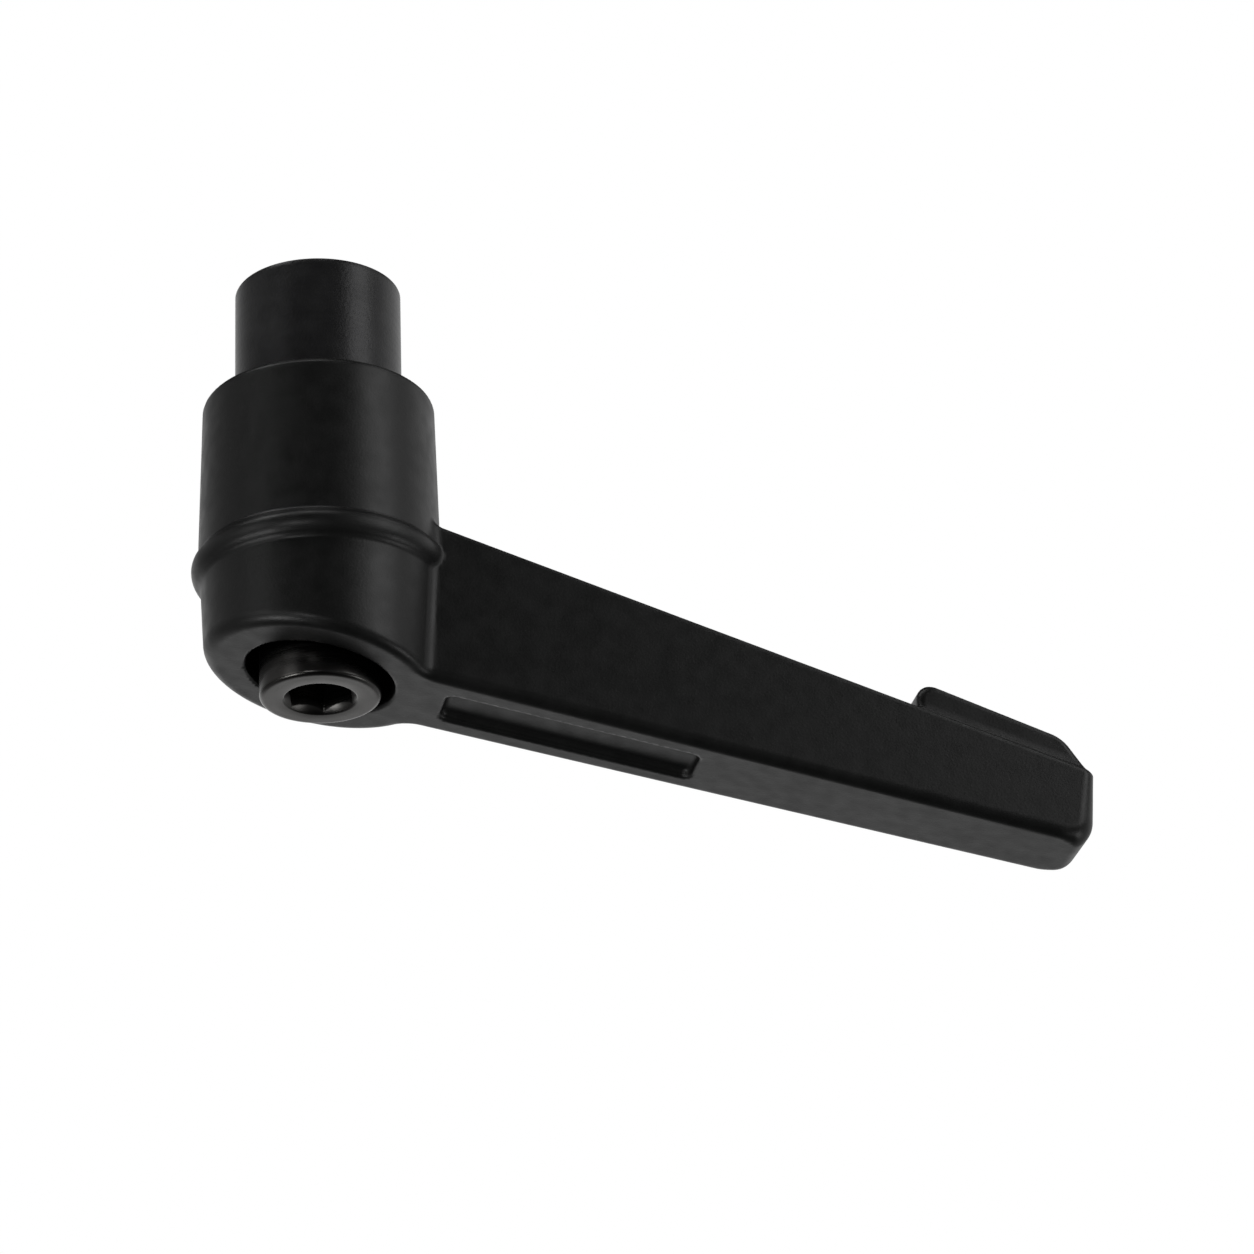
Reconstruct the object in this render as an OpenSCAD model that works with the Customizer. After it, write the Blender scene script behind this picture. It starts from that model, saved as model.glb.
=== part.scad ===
// Adjustable clamping lever with a female threaded insert.
// A die-cast handle sits on a toothed steel insert. A screw and a spring hold it down, so the handle can
// be pulled off its teeth, turned to a better place and let go again.
// Heights below are measured from the open end of the insert towards the screw.

/* [Insert] */
// Diameter of the boss
boss_d = 14; // [13.5:0.1:15]
// Length of boss that stands out of the hub
boss_l = 10.8; // [8:0.2:12]
// Chamfer round the boss end
boss_chamfer = 0.1; // [0.1:0.05:0.6]
// Length of the whole insert
insert_l = 21.2; // [20.8:0.1:22]
// Nominal diameter of the clamped stud's thread
stud_d = 8; // [6:1:8]
// Pitch of that thread
stud_pitch = 1.25; // [1:0.25:1.25]
// Depth of the threaded hole
stud_depth = 12; // [10:0.5:13]
// Number of teeth
teeth = 24; // [24, 36]
// Diameter over the teeth
teeth_d = 13.2; // [12.4:0.1:13.3]
// Depth of a tooth
tooth_depth = 0.6; // [0.4:0.05:0.8]
// Length of the teeth
tooth_l = 3.3; // [2.4:0.1:3.6]

/* [Hub] */
// Diameter of the hub at the boss
hub_d = 19.4; // [18.5:0.1:20]
// Draft of the hub down to its bead
hub_draft = 1.4; // [0:0.1:2]
// Radius of the edge round the boss
hub_edge_r = 0.6; // [0.3:0.1:1]
// Height of the bead's middle
bead_z = 26; // [24:0.1:28]
// Radius of the bead's section
bead_r = 1.1; // [0.8:0.1:1.4]
// Diameter over the bead
bead_d = 21.2; // [20.8:0.1:22]
// Diameter of the hub below the bead
low_d = 19.8; // [19.2:0.1:20.4]
// Draft of the hub below the bead
low_draft = 2.7; // [0:0.1:4]
// Height of the screw-side face on the axis
face_z = 35.6; // [34.5:0.1:36]
// Slope of the screw-side face along the arm
face_tilt = 11.4; // [9:0.1:12]
// Radius of the hub's edge at that face
face_edge_r = 1.5; // [1:0.1:2.6]
// How far the hub's face stands out from the arm's
face_step = 0.1; // [0.1:0.05:0.3]
// Diameter of the hole round the screw's head
hole_d = 12.2; // [11:0.1:13]
// Thickness of the web that the spring presses on
web_t = 2; // [1.6:0.1:2.6]

/* [Arm] */
// Reach from the axis to the tip
arm_reach = 64.5; // [60:0.1:70]
// Width of the arm at the axis
arm_root_w = 10.2; // [8.8:0.1:10.4]
// Width of the arm at the tip
arm_tip_w = 8; // [7.4:0.1:9]
// Height of the mount-side face on the axis
arm_top_z = 20.2; // [18:0.1:21]
// Slope of the mount-side face
arm_top_tilt = 18.6; // [17:0.1:19.5]
// Radius of the edges on the screw side
arm_edge_r = 1.4; // [0.8:0.1:1.8]
// Radius of the edges on the mount side
arm_top_edge_r = 0.6; // [0.3:0.1:1]
// Radius of the tip's edge on the screw side
tip_edge_r = 2.5; // [1.9:0.1:3]
// How far the tip's end face leans back at the screw side
tip_lean = 0.3; // [0:0.1:1.5]
// Radius of the hollow between the hub and the arm
fillet_r = 0.6; // [0.4:0.1:2]

/* [Thumb rest] */
// Distance from the axis to the rest's steep end
rest_x = 49.7; // [44:0.1:52]
// Height of the rest above the arm at its steep end
rest_h = 2.95; // [2.5:0.05:3.1]
// Height of the rest where its slope starts
rest_end_h = 2.5; // [1.2:0.05:2.5]
// Width of the rest
rest_w = 6.8; // [5.5:0.1:7]
// Run of the slope at the tip
rest_slope_l = 2.2; // [1.5:0.1:4]
// How far the foot of that slope lies inside the arm
rest_inset = 0.1; // [0.1:0.05:0.3]
// Radius of the rest's steep end
rest_nose_r = 1.1; // [0.8:0.1:1.2]
// Radius of the rest's other edges
rest_edge_r = 0.6; // [0.3:0.1:0.8]

/* [Recess] */
// Distance from the axis to the recess
recess_x = 10.4; // [10.2:0.1:14]
// Length of the recess
recess_l = 21.4; // [15:0.2:26]
// Width of the recess
recess_w = 4.4; // [3:0.1:5]
// Depth of the recess
recess_depth = 0.75; // [0.5:0.05:1.6]
// Radius of the recess's corners
recess_r = 0.8; // [0.4:0.1:1.2]

/* [Retaining screw] */
// Diameter of the screw
screw_d = 6; // [5:0.5:6]
// Length of the screw below its head
screw_l = 16; // [14:0.5:16]
// Diameter of the head
head_d = 10; // [9.8:0.1:10.4]
// Height of the head
head_h = 6; // [5:0.1:6.4]
// Chamfer round the head
head_chamfer = 0.4; // [0.2:0.1:0.8]
// Size of the hexagon socket across its flats
socket_af = 5; // [4:0.5:5]
// Diameter of the socket's conical mouth
mouth_d = 6.1; // [5.8:0.1:6.4]
// Depth of the socket
socket_depth = 3; // [2:0.1:3.6]
// Turn of the socket about the axis
socket_turn = -16; // [-30:1:30]

/* [Spring] */
// Length of the spring as fitted
spring_l = 8.3; // [7.8:0.1:8.6]
// Diameter of the wire
wire_d = 0.8; // [0.6:0.05:0.9]
// Diameter of the coil at the middle of the wire
coil_d = 8.6; // [8:0.1:9]
// Number of turns
turns = 4; // [3:0.25:4]

/* [Clearances] */
// Between the boss and its guide bore, on the radius
guide_gap = 0.1; // [0.05:0.01:0.15]
// Between the two sets of teeth, on the radius
tooth_gap = 0.1; // [0.08:0.01:0.15]
// Between the insert's shoulder and the end of the guide bore
shoulder_gap = 0.3; // [0.2:0.05:0.5]
// Between the screw and the threads or holes round it, on the radius
screw_gap = 0.05; // [0.03:0.01:0.1]
// Between the screw and the web, on the radius
web_gap = 0.3; // [0.2:0.05:0.5]
// Below the screw's end in its tapped hole
end_gap = 0.6; // [0.3:0.1:1]
// Between the spring and each of its seats
seat_gap = 0.05; // [0.02:0.01:0.1]

/* [Hidden] */
$fn = 96;
// Facets of the spheres that round the arm and the thumb rest
round_fn = 28;
// How far a cutter runs past the surface that it cuts
past = 1;
// Minor diameter of a metric thread with this pitch
function minor_d(d, pitch) = d - 1.0825 * pitch;
shoulder_z = insert_l - tooth_l;
web_z = insert_l + web_t;
head_z = web_z + spring_l;
hub_r = hub_d / 2;
low_r = low_d / 2;
// Radius of the hub above and below the bead
function hub_r_at(z) = hub_r + (z - boss_l) * tan(hub_draft);
function low_r_at(z) = low_r - (z - bead_z) * tan(low_draft);
// Heights of the mount-side and screw-side faces, and half the arm's width, at a distance from the axis
function top_z_at(x) = arm_top_z + x * tan(arm_top_tilt);
function face_z_at(x) = face_z + x * tan(face_tilt);
function half_w_at(x) = (arm_root_w + (arm_tip_w - arm_root_w) * x / arm_reach) / 2;
// Where the arm starts inside the hub's wall
arm_start_x = hole_d / 2 + past;
top_line_z = arm_top_z + arm_top_edge_r / cos(arm_top_tilt);
face_line_z = face_z - face_step - arm_edge_r / cos(face_tilt);

// The lever stands with its boss up, so heights from the boss end run down
module boss_up() {
    rotate([180, 0, 0]) children();
}

// A frame on the screw-side face: x along the arm, z out of the face
module on_face() {
    translate([0, 0, face_z]) rotate([0, -face_tilt, 0]) children();
}

// Ring of round section about the axis
module ring(r, z, section_r) {
    translate([0, 0, z]) rotate_extrude() translate([r, 0]) circle(r = section_r);
}

// Cylinder between two heights
module round_bar(d, z0, z1) {
    translate([0, 0, z0]) cylinder(d = d, h = z1 - z0);
}

// Toothed bar between two heights, with the teeth grown by a gap
module toothed_bar(gap, z0, z1) {
    tip_r = teeth_d / 2 + gap;
    points = [for (i = [0 : 2 * teeth - 1])
        let (r = i % 2 == 0 ? tip_r : tip_r - tooth_depth)
        [r * cos(180 * i / teeth), r * sin(180 * i / teeth)]];
    translate([0, 0, z0]) linear_extrude(z1 - z0) polygon(points);
}

// Block with round corners, standing on z = 0 and sunk below it
module round_corner_cut(l, w, depth, r) {
    translate([0, r - w / 2, -depth]) cube([l, w - 2 * r, depth + past]);
    translate([r, -w / 2, -depth]) cube([l - 2 * r, w, depth + past]);
    for (x = [r, l - r], y = [r - w / 2, w / 2 - r])
        translate([x, y, -depth]) cylinder(r = r, h = depth + past);
}

module hub_top() {
    rim_z = boss_l + hub_edge_r;
    round_bar(hub_d - 2 * hub_edge_r, boss_l, rim_z + hub_edge_r);
    ring(hub_r - hub_edge_r, rim_z, hub_edge_r);
    translate([0, 0, rim_z]) cylinder(r1 = hub_r, r2 = hub_r_at(bead_z), h = bead_z - rim_z);
    ring(bead_d / 2 - bead_r, bead_z, bead_r);
}

// Below the bead: a drafted hub, cut by the slanting face with a round edge
module hub_bottom() {
    r = face_edge_r;
    edge_d = 2 * low_r_at(face_z - r);
    end_z = face_z_at(low_r) + past;
    // The slant makes the hub's edge oval, so the round edge is moved to the far side from the arm
    shift = (edge_d / 2 - r) * (1 / cos(face_tilt) - 1) + low_r * tan(face_tilt) * tan(low_draft);
    intersection() {
        translate([0, 0, bead_z]) cylinder(r1 = low_r, r2 = low_r_at(end_z), h = end_z - bead_z);
        on_face() translate([-shift, 0, 0]) {
            round_bar(edge_d - 2 * r, -2 * r, 0);
            ring(edge_d / 2 - r, -r, r);
            translate([0, 0, -r - low_d]) cylinder(d1 = edge_d + 2 * low_d, d2 = edge_d, h = low_d);
        }
    }
}

// Two spheres, one on each side, that round a corner of the arm or of the thumb rest
module side_balls(x, z, half_w, r) {
    for (side = [-1, 1])
        translate([x, side * (half_w - r), z]) sphere(r = r, $fn = round_fn);
}

module arm() {
    top_end_x = arm_reach - arm_top_edge_r;
    start_z = face_line_z + arm_start_x * tan(face_tilt);
    // The tip's edge is a row of balls on an arc from the screw-side face to the end face
    arc_r = tip_edge_r - arm_edge_r;
    arc_x = arm_reach - tip_lean - tip_edge_r;
    arc_z = face_line_z + arc_x * tan(face_tilt) - arc_r / cos(face_tilt);
    hull() {
        for (x = [arm_start_x, top_end_x])
            side_balls(x, top_line_z + x * tan(arm_top_tilt), half_w_at(x), arm_top_edge_r);
        side_balls(arm_start_x, start_z, half_w_at(arm_start_x), arm_edge_r);
        for (a = [-face_tilt, (90 - face_tilt) / 2, 90])
            let (x = arc_x + arc_r * sin(a))
            side_balls(x, arc_z + arc_r * cos(a), half_w_at(x), arm_edge_r);
    }
}

// Raised rest for the thumb, sloping off at the tip
module thumb_rest() {
    nose_x = rest_x + rest_nose_r;
    end_x = arm_reach - rest_edge_r - rest_inset;
    slope_x = end_x - rest_slope_l;
    // Height of a ball that touches, from below, a line so far above the arm's mount-side face
    function ball_z(x, rise, r) = top_z_at(x) - rise + r / cos(arm_top_tilt);
    hull() {
        for (rise = [0, rest_h])
            side_balls(nose_x, ball_z(nose_x, rise, rest_nose_r), rest_w / 2, rest_nose_r);
        side_balls(slope_x, ball_z(slope_x, rest_end_h, rest_edge_r), rest_w / 2, rest_edge_r);
        side_balls(end_x, ball_z(end_x, -rest_inset, rest_edge_r), rest_w / 2, rest_edge_r);
    }
}

// Hollow corners where the arm's sides leave the hub
module hub_arm_fillets() {
    half_w = half_w_at(low_r);
    centre_y = half_w + fillet_r;
    centre_x = sqrt(pow(low_r + fillet_r, 2) - pow(centre_y, 2));
    on_hub = low_r / (low_r + fillet_r) * [centre_x, centre_y];
    z0 = top_z_at(centre_x) + arm_top_edge_r;
    z1 = face_z_at(on_hub[0]) - arm_edge_r;
    for (side = [0, 1])
        mirror([0, side, 0]) translate([0, 0, z0]) linear_extrude(z1 - z0) difference() {
            polygon([[arm_start_x, 0], on_hub, [centre_x, centre_y], [centre_x, 0]]);
            translate([centre_x, centre_y]) circle(r = fillet_r);
        }
}

module lever_handle() {
    color([0.06, 0.06, 0.06]) boss_up() difference() {
        union() {
            hub_top();
            hub_bottom();
            arm();
            thumb_rest();
            hub_arm_fillets();
        }
        round_bar(boss_d + 2 * guide_gap, boss_l - past, shoulder_z + shoulder_gap);
        toothed_bar(tooth_gap, shoulder_z, insert_l);
        round_bar(screw_d + 2 * web_gap, insert_l - past, web_z + past);
        round_bar(hole_d, web_z, face_z_at(hole_d) + past);
        on_face() translate([recess_x, 0, 0])
            round_corner_cut(recess_l, recess_w, recess_depth, recess_r);
    }
}

module threaded_insert() {
    tap_d = minor_d(stud_d, stud_pitch);
    color([0.1, 0.1, 0.1]) boss_up() difference() {
        union() {
            cylinder(d1 = boss_d - 2 * boss_chamfer, d2 = boss_d, h = boss_chamfer);
            round_bar(boss_d, boss_chamfer, shoulder_z);
            toothed_bar(0, shoulder_z, insert_l);
        }
        round_bar(tap_d, -past, stud_depth);
        round_bar(screw_d + 2 * screw_gap, head_z - screw_l - end_gap, insert_l + past);
    }
}

module retaining_screw() {
    end_z = head_z - screw_l;
    top_z = head_z + head_h;
    socket_d = socket_af / cos(30);
    mouth_h = (mouth_d - socket_af) / 2;
    color([0.16, 0.15, 0.14]) boss_up() difference() {
        union() {
            cylinder_z = top_z - head_chamfer;
            round_bar(screw_d, end_z, head_z);
            round_bar(head_d, head_z, cylinder_z);
            translate([0, 0, cylinder_z])
                cylinder(d1 = head_d, d2 = head_d - 2 * head_chamfer, h = head_chamfer);
        }
        translate([0, 0, top_z - socket_depth]) rotate([0, 0, socket_turn])
            cylinder(d = socket_d, h = socket_depth + past, $fn = 6);
        translate([0, 0, top_z - mouth_h]) cylinder(d1 = socket_af, d2 = mouth_d, h = mouth_h);
    }
}

// Coil spring with closed end turns, swept as rings of points along its wire
module return_spring() {
    sides = 10;
    steps = 30;
    count = round(turns * steps);
    rise = spring_l - wire_d - 2 * seat_gap;
    // The end turns almost touch, the middle turns take up the rest
    closed = 0.85;
    end_pitch = wire_d * 1.08;
    closed_rise = closed * end_pitch;
    function wire_z(t) =
        t < closed ? closed_rise * t / closed :
        t > turns - closed ? rise - closed_rise * (turns - t) / closed :
        closed_rise + (rise - 2 * closed_rise) * (t - closed) / (turns - 2 * closed);
    z0 = web_z + seat_gap + wire_d / 2;
    points = [for (i = [0 : count], k = [0 : sides - 1])
        let (turn = i * turns / count, a = 360 * turn, b = 360 * (k + 0.5) / sides)
        let (r = (coil_d + wire_d * cos(b)) / 2)
        [r * cos(a), r * sin(a), z0 + wire_z(turn) + wire_d / 2 * sin(b)]];
    walls = [for (i = [0 : count - 1], k = [0 : sides - 1])
        let (n = (k + 1) % sides)
        [i * sides + k, (i + 1) * sides + k, (i + 1) * sides + n, i * sides + n]];
    caps = [[for (k = [0 : sides - 1]) k], [for (k = [sides - 1 : -1 : 0]) count * sides + k]];
    color([0.5, 0.5, 0.5]) boss_up() polyhedron(points, concat(walls, caps), convexity = 10);
}

lever_handle();
threaded_insert();
retaining_screw();
return_spring();
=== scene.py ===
import bpy
import numpy as np
from mathutils import Matrix


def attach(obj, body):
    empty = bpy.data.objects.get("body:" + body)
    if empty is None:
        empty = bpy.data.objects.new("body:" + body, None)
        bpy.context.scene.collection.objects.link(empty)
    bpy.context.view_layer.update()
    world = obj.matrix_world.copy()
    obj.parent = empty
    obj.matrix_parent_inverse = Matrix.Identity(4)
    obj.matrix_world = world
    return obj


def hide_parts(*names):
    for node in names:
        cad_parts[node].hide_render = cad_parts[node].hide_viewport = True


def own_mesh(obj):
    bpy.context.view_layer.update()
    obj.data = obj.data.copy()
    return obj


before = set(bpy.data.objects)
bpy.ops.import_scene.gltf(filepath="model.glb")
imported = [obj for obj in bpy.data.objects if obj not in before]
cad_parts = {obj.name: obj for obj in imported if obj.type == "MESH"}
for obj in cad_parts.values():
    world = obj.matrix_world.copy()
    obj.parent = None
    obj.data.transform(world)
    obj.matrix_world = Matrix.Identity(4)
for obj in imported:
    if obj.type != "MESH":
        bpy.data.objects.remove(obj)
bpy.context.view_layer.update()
mm = 0.001
print("frame loaded")

# lengths below are in mm; h runs from the boss end towards the screw, so z = -h


def toFrame(x, y, h):
    return np.stack([x, y, -h], -1).reshape(-1, 3) * mm


# camera, found by lining the solids up with a picture 1254 by 1254
camera = {
    "place": (-55.87124, -367.53836, -209.33807),
    "right": (0.9788717, -0.20191733, -0.03224247),
    "up": (-0.05873297, -0.42868996, 0.90154055),
    "focalPixels": 5000.0,
    "imagePixels": 1254.0,
    "sensor": 36.0,
}


def makeCamera(spec):
    right, up = np.array(spec["right"]), np.array(spec["up"])
    turn = np.stack([right, up, np.cross(right, up)], 1)
    data = bpy.data.cameras.new("camera")
    data.sensor_width = spec["sensor"]
    data.lens = spec["sensor"] * spec["focalPixels"] / spec["imagePixels"]
    data.clip_start, data.clip_end = 0.01, 20.0
    obj = bpy.data.objects.new("camera", data)
    bpy.context.scene.collection.objects.link(obj)
    obj.matrix_world = Matrix.Translation(np.array(spec["place"]) * mm) @ Matrix(turn.tolist()).to_4x4()
    bpy.context.scene.camera = obj


makeCamera(camera)
print("camera set")


# materials: each one reads Object coordinates, in metres
def newMaterial(name):
    mat = bpy.data.materials.new(name)
    mat.use_nodes = True
    tree = mat.node_tree
    return mat, tree, tree.nodes["Principled BSDF"]


def addNode(tree, kind, inputs=None, **settings):
    node = tree.nodes.new(kind)
    for key, value in settings.items():
        setattr(node, key, value)
    for key, value in (inputs or {}).items():
        if isinstance(value, bpy.types.NodeSocket):
            tree.links.new(value, node.inputs[key])
        else:
            node.inputs[key].default_value = value
    return node


def addRamp(tree, factor, stops):
    # stops: (place, grey or colour)
    node = addNode(tree, "ShaderNodeValToRGB", {"Fac": factor})
    marks = node.color_ramp.elements
    while len(marks) < len(stops):
        marks.new(0.5)
    for mark, (place, tone) in zip(marks, stops):
        mark.position = place
        mark.color = (tone, tone, tone, 1.0) if np.isscalar(tone) else (*tone, 1.0)
    return node.outputs["Color"]


def addRange(tree, value, span, start, stop, kind="SMOOTHSTEP"):
    # start below the span, stop above it, eased or straight between
    node = addNode(tree, "ShaderNodeMapRange", {
        "Value": value, "From Min": span[0], "From Max": span[1], "To Min": start, "To Max": stop},
        interpolation_type=kind)
    return node.outputs["Result"]


coat = {
    "dark": (0.0036, 0.0038, 0.0037),
    "light": (0.0056, 0.0059, 0.0057),
    "roughLow": 0.36,
    "roughHigh": 0.44,
    "specular": 0.45,
    "grain": 5200.0,
    "grainDepth": 0.3,
    "peel": 700.0,
    "peelDepth": 0.15,
    "peelHeight": 0.0001,
    "speck": 1500.0,
    "speckDepth": 0.09,
    "speckEdge": (0.08, 0.26),
    "toneSpan": (0.3, 0.72),
}
fineHeight = 0.00003  # height of grain and specks, in metres
noiseSpan = (0.3, 0.7)  # the middle of a noise, which most of it lies in


# powder coat: fine grain, a slow orange peel and scattered specks that stand up
def makeCoat(spec):
    mat, tree, shader = newMaterial("textured_black_coat")
    place = addNode(tree, "ShaderNodeTexCoord").outputs["Object"]
    grain = addNode(tree, "ShaderNodeTexNoise",
                    {"Vector": place, "Scale": spec["grain"], "Detail": 2.0, "Roughness": 0.55})
    peel = addNode(tree, "ShaderNodeTexNoise",
                   {"Vector": place, "Scale": spec["peel"], "Detail": 1.0, "Roughness": 0.4})
    speck = addNode(tree, "ShaderNodeTexVoronoi",
                    {"Vector": place, "Scale": spec["speck"], "Randomness": 1.0}, feature="F1")
    lump = addRamp(tree, speck.outputs["Distance"], list(zip(spec["speckEdge"], (1.0, 0.0))))
    tone = addRamp(tree, grain.outputs["Fac"], list(zip(spec["toneSpan"], (spec["dark"], spec["light"]))))
    shine = addRange(tree, peel.outputs["Fac"], noiseSpan, spec["roughLow"], spec["roughHigh"], "LINEAR")
    wave = addNode(tree, "ShaderNodeBump", {
        "Height": peel.outputs["Fac"], "Strength": spec["peelDepth"], "Distance": spec["peelHeight"]})
    fine = addNode(tree, "ShaderNodeBump", {
        "Height": grain.outputs["Fac"], "Strength": spec["grainDepth"], "Distance": fineHeight,
        "Normal": wave.outputs["Normal"]})
    dots = addNode(tree, "ShaderNodeBump", {
        "Height": lump, "Strength": spec["speckDepth"], "Distance": fineHeight,
        "Normal": fine.outputs["Normal"]})
    shader.inputs["Specular IOR Level"].default_value = spec["specular"]
    tree.links.new(tone, shader.inputs["Base Color"])
    tree.links.new(shine, shader.inputs["Roughness"])
    tree.links.new(dots.outputs["Normal"], shader.inputs["Normal"])
    return mat


oxide = {
    "dark": (0.016, 0.016, 0.017),
    "light": (0.030, 0.030, 0.031),
    "metallic": 0.35,
    "roughLow": 0.31,
    "roughHigh": 0.36,
    "cut": 2600.0,
    "markDepth": 0.02,
    "grain": 3600.0,
    "grainDepth": 0.6,
}
around, cloudScale = 40.0, 420.0  # noise scales along a turning mark and of the slow clouding
markHeight = 0.00002  # in metres


# black steel: turning marks run round the axis, so the noise is stretched across it
def makeOxide(name, spec):
    mat, tree, shader = newMaterial(name)
    place = addNode(tree, "ShaderNodeTexCoord").outputs["Object"]
    stretch = addNode(tree, "ShaderNodeMapping", {"Vector": place, "Scale": (around, around, spec["cut"])})
    marks = addNode(tree, "ShaderNodeTexNoise",
                    {"Vector": stretch.outputs["Vector"], "Scale": 1.0, "Detail": 3.0, "Roughness": 0.6})
    cloud = addNode(tree, "ShaderNodeTexNoise",
                    {"Vector": place, "Scale": cloudScale, "Detail": 3.0, "Roughness": 0.55})
    tone = addRamp(tree, cloud.outputs["Fac"], list(zip(noiseSpan, (spec["dark"], spec["light"]))))
    shine = addRange(tree, marks.outputs["Fac"], noiseSpan, spec["roughLow"], spec["roughHigh"], "LINEAR")
    cuts = addNode(tree, "ShaderNodeBump", {
        "Height": marks.outputs["Fac"], "Strength": spec["markDepth"], "Distance": markHeight})
    grain = addNode(tree, "ShaderNodeTexNoise",
                    {"Vector": place, "Scale": spec["grain"], "Detail": 2.0, "Roughness": 0.6})
    fine = addNode(tree, "ShaderNodeBump", {
        "Height": grain.outputs["Fac"], "Strength": spec["grainDepth"], "Distance": fineHeight,
        "Normal": cuts.outputs["Normal"]})
    shader.inputs["Metallic"].default_value = spec["metallic"]
    tree.links.new(tone, shader.inputs["Base Color"])
    tree.links.new(shine, shader.inputs["Roughness"])
    tree.links.new(fine.outputs["Normal"], shader.inputs["Normal"])
    return mat


screwOxide = {
    "dark": (0.060, 0.058, 0.056),
    "light": (0.085, 0.083, 0.080),
    "metallic": 1.0,
    "roughLow": 0.22,
    "roughHigh": 0.34,
    "cut": 1500.0,
    "markDepth": 0.06,
    "grain": 3000.0,
    "grainDepth": 0.05,
}

wireSteel = {
    "dark": (0.36, 0.36, 0.37),
    "light": (0.50, 0.50, 0.51),
    "metallic": 1.0,
    "roughLow": 0.22,
    "roughHigh": 0.34,
    "cut": 900.0,
    "markDepth": 0.1,
    "grain": 3000.0,
    "grainDepth": 0.05,
}

coatMat = makeCoat(coat)
insertMat = makeOxide("satin_black_steel", oxide)
screwMat = makeOxide("polished_black_steel", screwOxide)
springMat = makeOxide("drawn_spring_wire", wireSteel)
print("materials made")


def placePiece(name, points, faces, mat, body, node, sharpAngle=None, normals=None):
    mesh = bpy.data.meshes.new(name)
    mesh.from_pydata(points, [], faces)
    mesh.update()
    mesh.shade_smooth()
    if sharpAngle:
        mesh.set_sharp_from_angle(angle=np.radians(sharpAngle))
    if normals is not None:
        mesh.normals_split_custom_set_from_vertices(normals)
    mesh.materials.append(mat)
    obj = bpy.data.objects.new(name, mesh)
    bpy.context.scene.collection.objects.link(obj)
    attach(obj, body)
    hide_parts(node)
    print(name, len(points), "points", sum(len(f) - 2 for f in faces), "triangles")
    return obj


# handle: hub, arm, bead and hollows run into one another with round edges, so no sheet of two
# parameters gives it; its surface is the zero level of a distance field, meshed on a grid
handle = {
    "hubTop": 10.8, "hubRadius": 9.7, "hubDraft": 1.4, "hubEdge": 0.6,
    "beadHeight": 26.0, "beadSection": 1.1, "beadRadius": 10.6, "beadUnder": 1.3,
    "beadTopHollow": 0.22, "beadUnderHollow": 0.28,
    "lowRadius": 9.9, "lowDraft": 2.7,
    "faceHeight": 35.55, "faceTilt": 11.4, "faceEdge": 0.95, "tipFaceEdge": 2.3,
    "armTop": 20.2, "armTopTilt": 18.6, "armTopEdge": 0.5,
    "reach": 64.5, "rootWidth": 10.2, "tipWidth": 8.0, "tipLean": 0.3,
    "tipEdgeTop": 1.0, "tipEdgeFace": 2.0, "hollow": 0.6,
    "restStart": 49.7, "restHeight": 2.95, "restEndHeight": 2.5, "restWidth": 6.8, "restSlope": 2.2,
    "restNose": 1.8, "restEdge": 0.6, "restHollow": 0.3,
    "flank": 2.4, "flankRise": 0.95, "footRun": 1.2, "footRise": 0.45,
    "recessStart": 10.4, "recessLength": 21.4, "recessWidth": 4.4, "recessDepth": 0.75,
    "recessCorner": 0.8, "recessFloorEdge": 0.5, "recessRim": 0.35,
    "guideRadius": 7.1, "guideEnd": 18.2, "toothTip": 6.7, "toothRoot": 6.1, "teeth": 24, "toothEnd": 21.2,
    "webHole": 3.3, "holeRadius": 6.1, "holeStart": 23.2, "rim": 0.25,
    "wallEase": 0.5, "beadEase": 0.4, "tipEase": (3.5, 0.5),
    "restSink": 0.5, "restEndEdge": 0.1, "restLead": 5.0,
    "cell": 0.3, "passes": (0.5, 0.5, 0.3, 0.0, 0.0),
    # grid lines in x, y and h: low, high, then stretches with a smaller cell
    "grid": [
        (-11.0, 65.1, [(48.8, 51.2, 0.2), (62.5, 65.0, 0.2)]),
        (-11.06, 11.4, [(-4.7, -3.2, 0.14), (3.2, 4.7, 0.14)]),
        (10.3, 49.0, [(24.2, 28.3, 0.13), (36.0, 43.5, 0.18)]),
    ],
}


def roundedCut(a, b, r):
    # both: the larger distance, with a round edge of radius r where the two surfaces meet
    edge = np.hypot(np.maximum(a + r, 0.0), np.maximum(b + r, 0.0))
    return np.minimum(-r, np.maximum(a, b)) + edge


def hollowJoin(a, b, r):
    # either: the smaller distance, with a hollow of radius r where the two surfaces meet
    edge = np.hypot(np.maximum(r - a, 0.0), np.maximum(r - b, 0.0))
    return np.maximum(r, np.minimum(a, b)) - edge


def easeStep(v, low, high):
    # 0 below low, 1 above high, smooth between
    t = np.clip((v - low) / (high - low), 0.0, 1.0)
    return t * t * (3.0 - 2.0 * t)


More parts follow.
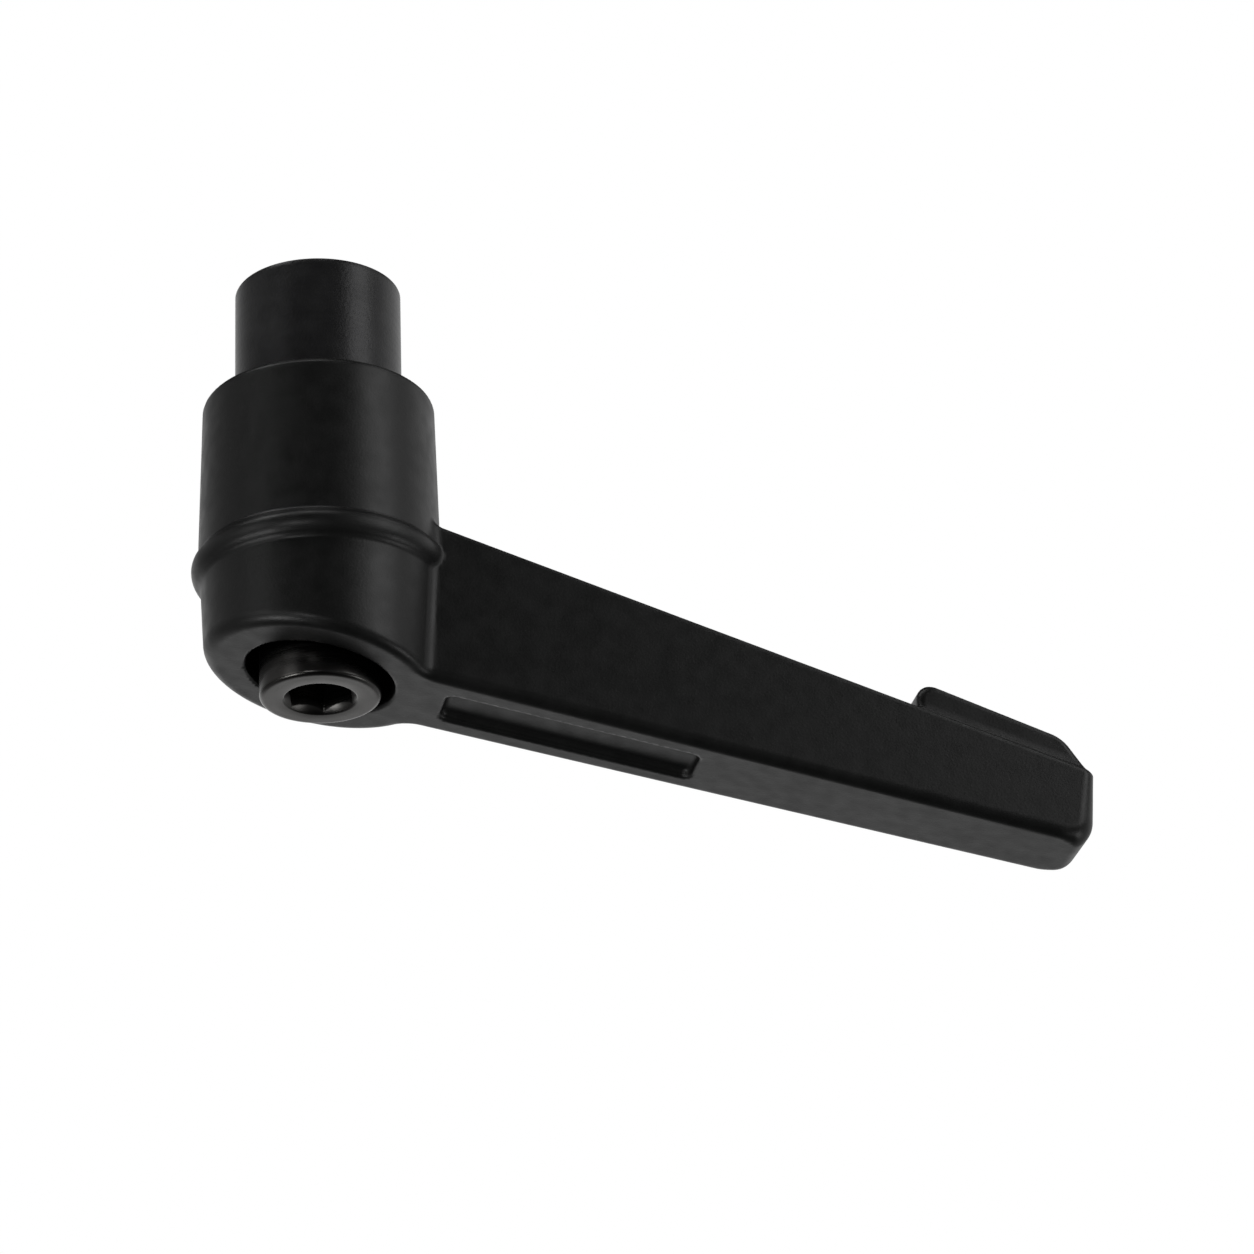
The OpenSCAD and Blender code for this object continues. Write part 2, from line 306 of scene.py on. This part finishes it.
def handleField(x, y, h, s=handle):
    tan, cos, sin = (lambda d, f=f: f(np.radians(d)) for f in (np.tan, np.cos, np.sin))
    r = np.hypot(x, y)
    side = np.abs(y)
    # hub wall, drafted both ways from the bead
    upper = s["hubRadius"] + (h - s["hubTop"]) * tan(s["hubDraft"])
    lower = s["lowRadius"] - (h - s["beadHeight"]) * tan(s["lowDraft"])
    middle, ease = s["beadHeight"], s["wallEase"]
    wall = r - upper - (lower - upper) * easeStep(h, middle - ease, middle + ease)
    # arm: two tapering sides, a leaning end and the mount-side face
    armTop = s["armTop"] + x * tan(s["armTopTilt"])
    armFace = s["faceHeight"] + x * tan(s["faceTilt"])
    width = s["rootWidth"] + (s["tipWidth"] - s["rootWidth"]) * x / s["reach"]
    topAtTip = s["armTop"] + s["reach"] * tan(s["armTopTilt"])
    faceAtTip = s["faceHeight"] + s["reach"] * tan(s["faceTilt"])
    end = x - s["reach"] + s["tipLean"] * (h - topAtTip) / (faceAtTip - topAtTip)
    down = np.clip((h - topAtTip) / (faceAtTip - topAtTip), 0.0, 1.0)
    tipEdge = s["tipEdgeTop"] + (s["tipEdgeFace"] - s["tipEdgeTop"]) * down
    armPlan = roundedCut(side - width / 2, end, tipEdge)
    arm = roundedCut(np.maximum(armPlan, -x), (armTop - h) * cos(s["armTopTilt"]), s["armTopEdge"])
    body = hollowJoin(wall, arm, s["hollow"])
    face = (h - armFace) * cos(s["faceTilt"])
    atTip = easeStep(x, s["reach"] - s["tipEase"][0], s["reach"] - s["tipEase"][1])
    edge = s["faceEdge"] + (s["tipFaceEdge"] - s["faceEdge"]) * atTip
    body = roundedCut(body, face, edge)
    body = roundedCut(body, s["hubTop"] - h, s["hubEdge"])
    # half-round bead, a little longer on the screw side
    drop = h - middle
    drop = np.where(drop > 0.0, drop * s["beadSection"] / s["beadUnder"], drop)
    ring = np.hypot(r - s["beadRadius"] + s["beadSection"], drop) - s["beadSection"]
    under = easeStep(h, middle - s["beadEase"], middle + s["beadEase"])
    body = hollowJoin(body, ring, s["beadTopHollow"] + (s["beadUnderHollow"] - s["beadTopHollow"]) * under)
    # thumb rest: crest, slope at the tip and a round nose, with hollows where it leaves the arm
    e = s["restEdge"]
    rise = s["restEndHeight"] + s["restSlope"] * tan(s["armTopTilt"])
    nx, nh = np.array([rise, -s["restSlope"]]) / np.hypot(rise, s["restSlope"])
    crestX = s["reach"] - e - s["restSlope"]
    crestH = s["armTop"] - s["restEndHeight"] + e / cos(s["armTopTilt"]) + crestX * tan(s["armTopTilt"])
    fall = (s["restHeight"] - s["restEndHeight"]) * (x - s["restStart"]) / (crestX - s["restStart"])
    crest = (armTop - s["restHeight"] + fall - h) * cos(s["armTopTilt"])
    ridge = roundedCut(crest, (x - crestX) * nx + (h - crestH) * nh - e, e)
    above = (armTop - h) * cos(s["armTopTilt"])
    flare = s["flank"] - np.sqrt(s["flank"] ** 2 - np.clip(s["flankRise"] - above, 0.0, s["flankRise"]) ** 2)
    foot = s["footRun"] * (1.0 - np.sqrt(np.clip(above / s["footRise"], 0.0, 1.0)))
    nose = roundedCut(ridge, s["restStart"] - x - foot, s["restNose"])
    rest = roundedCut(nose, side - s["restWidth"] / 2 - flare, e)
    rest = roundedCut(np.maximum(rest, -above - s["restSink"]), armPlan, s["restEndEdge"])
    body = hollowJoin(body, rest, s["restHollow"])
    # no wider than the arm there
    body = np.where(x > s["restStart"] - s["restLead"], np.maximum(body, armPlan), body)
    # oblong recess in the screw-side face
    along = x * cos(s["faceTilt"]) + (h - s["faceHeight"]) * sin(s["faceTilt"])
    c = s["recessCorner"]
    qx = np.abs(along - s["recessStart"] - s["recessLength"] / 2) - s["recessLength"] / 2 + c
    qy = side - s["recessWidth"] / 2 + c
    plan = np.hypot(np.maximum(qx, 0.0), np.maximum(qy, 0.0)) + np.minimum(np.maximum(qx, qy), 0.0) - c
    recess = roundedCut(plan, -s["recessDepth"] - face, s["recessFloorEdge"])
    body = roundedCut(body, -recess, s["recessRim"])
    # bores: guide, serration, web hole and the hole round the spring and screw head
    turn = np.arctan2(y, x) * s["teeth"] / (2.0 * np.pi)
    zig = 2.0 * np.abs(turn - np.round(turn))
    teeth = r - s["toothTip"] + (s["toothTip"] - s["toothRoot"]) * zig
    bores = np.minimum(np.maximum(r - s["guideRadius"], h - s["guideEnd"]),
                       np.maximum(teeth, h - s["toothEnd"]))
    bores = np.minimum(bores, r - s["webHole"])
    bores = np.minimum(bores, np.maximum(r - s["holeRadius"], s["holeStart"] - h))
    return roundedCut(body, -bores, s["rim"])


def fieldSlope(p, gap=0.01):
    # central differences of the field, one column for each direction
    steps = np.eye(3) * gap
    return np.stack([handleField(*(p + d).T) - handleField(*(p - d).T) for d in steps], 1) / (2.0 * gap)


def gridLine(low, high, cell, close):
    # steps of one cell, shorter in the close stretches: point k lies where the sum of length / step is k
    t = np.linspace(low, high, 6000)
    step = np.full(t.shape, cell)
    for start, stop, short in close:
        step = np.where((t > start) & (t < stop), short, step)
    count = np.cumsum(np.gradient(t) / step)
    return np.interp(np.arange(count[0], count[-1]), count, t)


def zeroSurface(axes):
    # one point in each grid cell that the surface crosses, at the mean of its edge crossings; one
    # quad round each grid edge that it crosses
    value = handleField(*np.meshgrid(*axes, indexing="ij", sparse=True))
    inside = value < 0.0
    corners = np.array([[i, j, k] for i in (0, 1) for j in (0, 1) for k in (0, 1)])
    size = np.array(inside.shape) - 1
    count = sum(inside[i:i + size[0], j:j + size[1], k:k + size[2]].astype(np.int8) for i, j, k in corners)
    cells = np.argwhere((count > 0) & (count < 8))
    number = np.full(size, -1)
    number[tuple(cells.T)] = np.arange(len(cells))
    total, hits = np.zeros((len(cells), 3)), np.zeros(len(cells))
    for axis in range(3):
        for start in corners[corners[:, axis] == 0]:
            step = np.eye(3, dtype=int)[axis]
            va, vb = value[tuple((cells + start).T)], value[tuple((cells + start + step).T)]
            crossed = (va < 0.0) != (vb < 0.0)
            part = np.where(crossed, va / np.where(crossed, va - vb, 1.0), 0.0)
            total += crossed[:, None] * (start + part[:, None] * step)
            hits += crossed
    part = total / hits[:, None]
    points = np.stack([line[c] + f * (line[c + 1] - line[c]) for line, c, f in zip(axes, cells.T, part.T)], 1)
    faces = []
    for axis in range(3):
        u, v = np.eye(3, dtype=int)[(axis + 1) % 3], np.eye(3, dtype=int)[(axis + 2) % 3]
        first = np.take(inside, np.arange(size[axis]), axis)
        second = np.take(inside, np.arange(1, size[axis] + 1), axis)
        edge = np.argwhere(first != second)
        ring = [number[tuple((edge - a * u - b * v).T)] for a, b in ((1, 1), (0, 1), (0, 0), (1, 0))]
        quad = np.stack(ring, 1)
        out = first[tuple(edge.T)]
        faces.append(np.where(out[:, None], quad, quad[:, ::-1]))
    return points, np.concatenate(faces)


def settle(points, faces, cell, passes):
    # evens the net out along the surface, then drops each point onto the zero level
    a, b = faces.ravel(), np.roll(faces, -1, 1).ravel()
    for smooth in passes:
        if smooth:
            mean, links = np.zeros_like(points), np.bincount(a, minlength=len(points))
            for axis in range(3):
                mean[:, axis] = np.bincount(a, points[b, axis], len(points)) / np.maximum(links, 1)
            slope = fieldSlope(points)
            slope /= np.linalg.norm(slope, axis=1, keepdims=True) + 1e-9
            shift = mean - points
            points = points + smooth * (shift - (shift * slope).sum(1, keepdims=True) * slope)
        slope = fieldSlope(points)
        drop = handleField(*points.T) / np.maximum((slope ** 2).sum(1), 0.25)
        points = points - np.clip(drop, -cell / 2, cell / 2)[:, None] * slope
    return points


def makeHandle(spec):
    cell = spec["cell"]
    points, faces = zeroSurface([gridLine(low, high, cell, close) for low, high, close in spec["grid"]])
    points = settle(points, faces, cell, spec["passes"])
    slope = fieldSlope(points)
    slope /= np.linalg.norm(slope, axis=1, keepdims=True) + 1e-9
    normals = slope * np.array([1.0, 1.0, -1.0])  # h points down, so z turns over
    faces = faces[:, ::-1]
    return placePiece("cast_handle", toFrame(*points.T), faces.tolist(), coatMat, "handle", "lever_handle",
                      normals=normals)


makeHandle(handle)


# a closed skin of rings: radius and height are given for each row and column, with a pole at both ends
def ringSkin(radius, height, angles, topHeight, endHeight):
    rows, columns = radius.shape
    x, y = radius * np.cos(angles), radius * np.sin(angles)
    poles = toFrame(np.zeros(2), np.zeros(2), np.array([topHeight, endHeight]))
    points = np.concatenate([toFrame(x, y, height), poles])
    cell = np.arange(rows * columns).reshape(rows, columns)
    nextCell = np.roll(cell, -1, 1)
    quads = np.stack([cell[:-1], cell[1:], nextCell[1:], nextCell[:-1]], -1).reshape(-1, 4)
    first, last = rows * columns, rows * columns + 1
    capA = np.stack([np.full(columns, first), cell[0], nextCell[0]], -1)
    capB = np.stack([np.full(columns, last), nextCell[-1], cell[-1]], -1)
    return points, quads.tolist() + capA.tolist() + capB.tolist()


def trapezoidThread(phase):
    # 0 on the crest flat, 1 on the root flat, straight flanks between
    saw = np.abs((phase % 1.0) - 0.5) * 2.0
    return np.clip((saw - 0.14) / 0.66, 0.0, 1.0)


insert = {
    "bossRadius": 7.0, "edge": 0.1, "shoulder": 17.9, "end": 21.2,
    "threadCrest": 3.3234, "threadRoot": 4.0, "pitch": 1.25, "depth": 12.0, "sink": 4.2,
    "teeth": 24, "toothTip": 6.6, "toothRoot": 6.0, "toothChamfer": 0.3,
    "tapRadius": 3.05, "tapStart": 14.9, "tapChamfer": 0.3,
    "columns": 192, "rowsPerPitch": 16,
}


# insert: rows run from the bottom of the stud hole, up its thread, over the boss end, down the boss and
# its teeth, and up the tapped hole; thread radius = crest + depth * trapezoid(h / pitch - turn)
def makeInsert(s):
    turn = np.arange(s["columns"]) / s["columns"]
    angles = 2.0 * np.pi * turn
    one = np.ones(s["columns"])
    h = np.linspace(s["depth"], 0.0, int(s["depth"] / s["pitch"] * s["rowsPerPitch"]) + 1)[:, None]
    groove = trapezoidThread(h / s["pitch"] - turn) * np.clip((s["depth"] - 0.6 - h) / 1.5, 0.0, 1.0)
    thread = s["threadCrest"] + (s["threadRoot"] - s["threadCrest"]) * groove
    thread = np.maximum(thread, s["sink"] - h)
    zig = 2.0 * np.abs(turn * s["teeth"] - np.round(turn * s["teeth"]))
    teeth = s["toothTip"] - (s["toothTip"] - s["toothRoot"]) * zig
    b, e, c = s["bossRadius"], s["edge"], s["toothChamfer"]
    rows = [(r * one, v * one) for r, v in [
        (b - 1.0, 0.0), (b - 0.3, 0.0), (b - e, 0.0), (b - 0.3 * e, 0.3 * e), (b, e), (b, 0.5), (b, 4.0),
        (b, 8.0), (b, 12.0), (b, 16.0), (b, s["shoulder"] - 0.2), (b - 0.2, s["shoulder"])]]
    rows += [(teeth, s["shoulder"] * one), (teeth, (s["end"] - c) * one)]
    rows += [(np.minimum(teeth, s["toothTip"] - c), s["end"] * one)]
    t, k = s["tapRadius"], s["tapChamfer"]
    rows += [(r * one, v * one) for r, v in [
        (4.5, s["end"]), (t + k, s["end"]), (t, s["end"] - k), (t, 18.0), (t, s["tapStart"] + 0.4),
        (t - 0.1, s["tapStart"]), (1.5, s["tapStart"])]]
    floor = [(1.5 * one, s["depth"] * one), ((s["threadCrest"] - 0.05) * one, s["depth"] * one)]
    radius = np.concatenate([[r for r, v in floor], thread, [r for r, v in rows]])
    height = np.concatenate([[v for r, v in floor], h * one, [v for r, v in rows]])
    points, faces = ringSkin(radius, height, angles, s["depth"], s["tapStart"])
    return placePiece("toothed_insert", points, faces, insertMat, "insert", "threaded_insert",
                      sharpAngle=38)


makeInsert(insert)


screw = {
    "headRadius": 5.0, "headTop": 37.5, "headUnder": 31.5, "edge": 0.4,
    "flats": 5.0, "mouth": 6.1, "depth": 3.0, "turn": 16.0,
    "shank": 3.0, "root": 2.46, "pitch": 1.0, "end": 15.5, "plain": 2.0, "endChamfer": 0.7,
    "columns": 192, "rowsPerPitch": 14,
}


# screw: rows run out over the socket floor, up its hexagon wall, over the conical mouth and the head, and
# down the threaded shank; hexagon radius = half flats / cos(angle from the nearest flat)
def makeScrew(s):
    turn = np.arange(s["columns"]) / s["columns"]
    angles = 2.0 * np.pi * turn + np.radians(s["turn"])
    one = np.ones(s["columns"])
    half = s["flats"] / 2
    flat = (turn * 6.0) % 1.0 - 0.5
    hexagon = half / np.cos(flat * np.pi / 3.0)
    top, floor = s["headTop"], s["headTop"] - s["depth"]
    lip = top - (s["mouth"] / 2 - hexagon)
    bend = np.linspace(0.0, np.pi / 2, 7)
    big, e = s["headRadius"], s["edge"]
    rows = [(0.5 * one, (floor - 0.45) * one), (1.9 * one, (floor - 0.1) * one),
            (0.93 * hexagon, floor * one), (hexagon, (floor + 0.15) * one),
            (hexagon, 0.5 * (floor + lip)), (hexagon, lip - 0.06),
            (hexagon + 0.03, lip)]
    m = s["mouth"] / 2
    rows += [(np.maximum(hexagon + 0.03, m - 0.08), np.maximum(lip, top - 0.08)),
             (m * one, (top - 0.015) * one), ((m + 0.1) * one, top * one),
             (0.5 * (m + big) * one, top * one), ((big - e - 0.15) * one, top * one)]
    rows += [((big - e + e * np.sin(a)) * one, (top - e + e * np.cos(a)) * one) for a in bend]
    rows += [(r * one, v * one) for r, v in [
        (big, 36.0), (big, 34.0), (big, 32.0), (big, s["headUnder"] + 0.12), (big - 0.12, s["headUnder"]),
        (4.0, s["headUnder"]), (s["shank"] + 0.25, s["headUnder"]), (s["shank"], s["headUnder"] - 0.25)]]
    start = s["headUnder"] - s["plain"]
    h = np.linspace(start, s["end"], int((start - s["end"]) / s["pitch"] * s["rowsPerPitch"]) + 1)[:, None]
    groove = (1.0 - trapezoidThread(h / s["pitch"] - turn)) * np.clip((start - h) / 1.2, 0.0, 1.0)
    thread = s["shank"] - (s["shank"] - s["root"]) * groove
    thread = np.minimum(thread, s["shank"] - s["endChamfer"] + (h - s["end"]))
    radius = np.concatenate([[r for r, v in rows], thread, [1.0 * one]])
    height = np.concatenate([[v for r, v in rows], h * one, [s["end"] * one]])
    points, faces = ringSkin(radius, height, angles, floor - 0.55, s["end"])
    return placePiece("socket_screw", points, faces, screwMat, "insert", "retaining_screw",
                      sharpAngle=40)


makeScrew(screw)


spring = {
    "start": 23.25, "length": 8.2, "wire": 0.8, "coil": 8.6, "turns": 4.0, "closed": 0.85,
    "steps": 384, "sides": 14, "seat": 31.5, "kept": 4.5 / 8.3,
}


# spring: a circle of wire carried along a helix whose end turns lie close, both ends capped
def makeSpring(s):
    t = np.linspace(0.0, s["turns"], s["steps"] + 1)
    rise, low = s["length"] - s["wire"], s["closed"] * s["wire"] * 1.08
    knots = [0.0, s["closed"], s["turns"] - s["closed"], s["turns"]]
    h = s["start"] + s["wire"] / 2 + np.interp(t, knots, [0.0, low, rise - low, rise])
    side = 2.0 * np.pi * np.arange(s["sides"]) / s["sides"]
    radius = (s["coil"] + s["wire"] * np.cos(side)) / 2
    x = radius * np.cos(2.0 * np.pi * t)[:, None]
    y = -radius * np.sin(2.0 * np.pi * t)[:, None]
    points = toFrame(x, y, h[:, None] + s["wire"] / 2 * np.sin(side))
    cell = np.arange(len(points)).reshape(len(t), s["sides"])
    nextCell = np.roll(cell, -1, 1)
    quads = np.stack([cell[:-1], nextCell[:-1], nextCell[1:], cell[1:]], -1).reshape(-1, 4).tolist()
    faces = quads + [cell[0, ::-1].tolist(), cell[-1].tolist()]
    obj = placePiece("coil_spring", points, faces, springMat, "spring", "return_spring",
                     sharpAngle=50)
    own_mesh(obj)
    return obj


makeSpring(spring)


# stage: pale floor well below, soft panels to both sides, white all round for the camera
stage = {
    "floorHeight": -600.0, "floorSize": 6000.0, "floorColour": (0.82, 0.82, 0.81), "floorRough": 0.8,
    "aim": (20.0, 0.0, -25.0),
    "behindLow": 0.36, "behindHigh": 0.7, "left": 0.4, "frontLeft": 0.03, "frontRight": 0.11,
    "above": 0.05, "below": 0.15,
    # directions over which one level eases into the next
    "frontSpan": (-0.05, 0.4), "behindSpan": (-0.3, 0.2), "depthSpan": (-0.45, 0.15), "aboveSpan": (0.5, 0.7),
    "belowSpan": (-0.9, -0.55), "leftSpan": (-0.8, -0.1), "backSpan": (0.8, 0.97),
    "panels": [
        {"name": "left_panel", "place": (-480.0, -220.0, 10.0), "size": (220.0, 280.0), "power": 0.24},
        {"name": "right_panel", "place": (290.0, -240.0, 100.0), "size": (190.0, 360.0), "power": 0.36},
        {"name": "low_panel", "place": (-240.0, -420.0, -140.0), "size": (110.0, 80.0), "power": 0.2},
        {"name": "low_left_panel", "place": (-360.0, -130.0, -340.0), "size": (180.0, 120.0), "power": 0.45},
        {"name": "low_right_panel", "place": (380.0, -110.0, -320.0), "size": (180.0, 120.0), "power": 0.16},
        {"name": "top_panel", "place": (-60.0, -200.0, 430.0), "size": (200.0, 120.0), "power": 0.19},
        {"name": "top_left_panel", "place": (-290.0, -90.0, 400.0), "size": (160.0, 160.0), "power": 0.3},
        {"name": "top_right_panel", "place": (290.0, -60.0, 400.0), "size": (160.0, 160.0), "power": 0.1},
    ],
}


def makeStage(s):
    half, z = s["floorSize"] / 2 * mm, s["floorHeight"] * mm
    mesh = bpy.data.meshes.new("floor")
    corners = [(-half, -half, z), (half, -half, z), (half, half, z), (-half, half, z)]
    mesh.from_pydata(corners, [], [(0, 1, 2, 3)])
    floorMat, tree, shader = newMaterial("pale_floor")
    shader.inputs["Base Color"].default_value = (*s["floorColour"], 1.0)
    shader.inputs["Roughness"].default_value = s["floorRough"]
    # pale to the camera, without throwing more light on the part
    shader.inputs["Emission Color"].default_value = (*s["floorColour"], 1.0)
    path = addNode(tree, "ShaderNodeLightPath")
    tree.links.new(path.outputs["Is Camera Ray"], shader.inputs["Emission Strength"])
    mesh.materials.append(floorMat)
    floor = bpy.data.objects.new("floor", mesh)
    bpy.context.scene.collection.objects.link(floor)
    floor.visible_glossy = False  # the part mirrors the studio, not the floor far below it
    for panel in s["panels"]:
        lamp = bpy.data.lights.new(panel["name"], "AREA")
        lamp.shape, lamp.energy = "RECTANGLE", panel["power"]
        lamp.size, lamp.size_y = np.array(panel["size"]) * mm
        obj = bpy.data.objects.new(panel["name"], lamp)
        bpy.context.scene.collection.objects.link(obj)
        place = np.array(panel["place"]) * mm
        back = place - np.array(s["aim"]) * mm
        back /= np.linalg.norm(back)
        across = np.cross((0.0, 0.0, 1.0), back)
        across /= np.linalg.norm(across)
        turn = np.stack([across, np.cross(back, across), back], 1)
        obj.matrix_world = Matrix.Translation(place) @ Matrix(turn.tolist()).to_4x4()


def makeWorld(s):
    world = bpy.data.worlds.new("studio")
    bpy.context.scene.world = world
    world.use_nodes = True
    tree = world.node_tree
    tree.nodes.clear()
    path = addNode(tree, "ShaderNodeLightPath")
    place = addNode(tree, "ShaderNodeTexCoord").outputs["Generated"]
    way = addNode(tree, "ShaderNodeSeparateXYZ", {"Vector": place}).outputs

    def combine(first, second, operation="MULTIPLY"):
        return addNode(tree, "ShaderNodeMath", {0: first, 1: second}, operation=operation).outputs["Value"]

    # brighter behind the part, most of all above its middle, dim in front of it and to the left, dimmer
    # still straight above and below
    front = addRange(tree, way["X"], s["frontSpan"], s["frontLeft"], s["frontRight"])
    behind = addRange(tree, way["Z"], s["behindSpan"], s["behindLow"], s["behindHigh"])
    depth = addRange(tree, way["Y"], s["depthSpan"], front, behind)
    above = addRange(tree, way["Z"], s["aboveSpan"], 1.0, s["above"])
    below = addRange(tree, way["Z"], s["belowSpan"], s["below"], 1.0)
    left = addRange(tree, way["X"], s["leftSpan"], s["left"], 1.0)
    level = combine(depth, combine(combine(above, below), left))
    room = addNode(tree, "ShaderNodeBackground", {"Color": (1.0, 1.0, 1.0, 1.0), "Strength": level})
    white = addNode(tree, "ShaderNodeBackground", {"Color": (1.0, 1.0, 1.0, 1.0), "Strength": 1.0})
    # white all round for the camera and through glass, and in metal where it stands behind the part
    clear = combine(path.outputs["Is Camera Ray"], path.outputs["Is Transmission Ray"], "MAXIMUM")
    back = addRange(tree, way["Y"], s["backSpan"], 0.0, path.outputs["Is Glossy Ray"])
    clear = combine(clear, back, "MAXIMUM")
    both = addNode(tree, "ShaderNodeMixShader", {
        0: clear, 1: room.outputs["Background"], 2: white.outputs["Background"]})
    addNode(tree, "ShaderNodeOutputWorld", {"Surface": both.outputs["Shader"]})


makeStage(stage)
makeWorld(stage)
bpy.context.scene.view_settings.view_transform = "Standard"
print("stage and lights set")
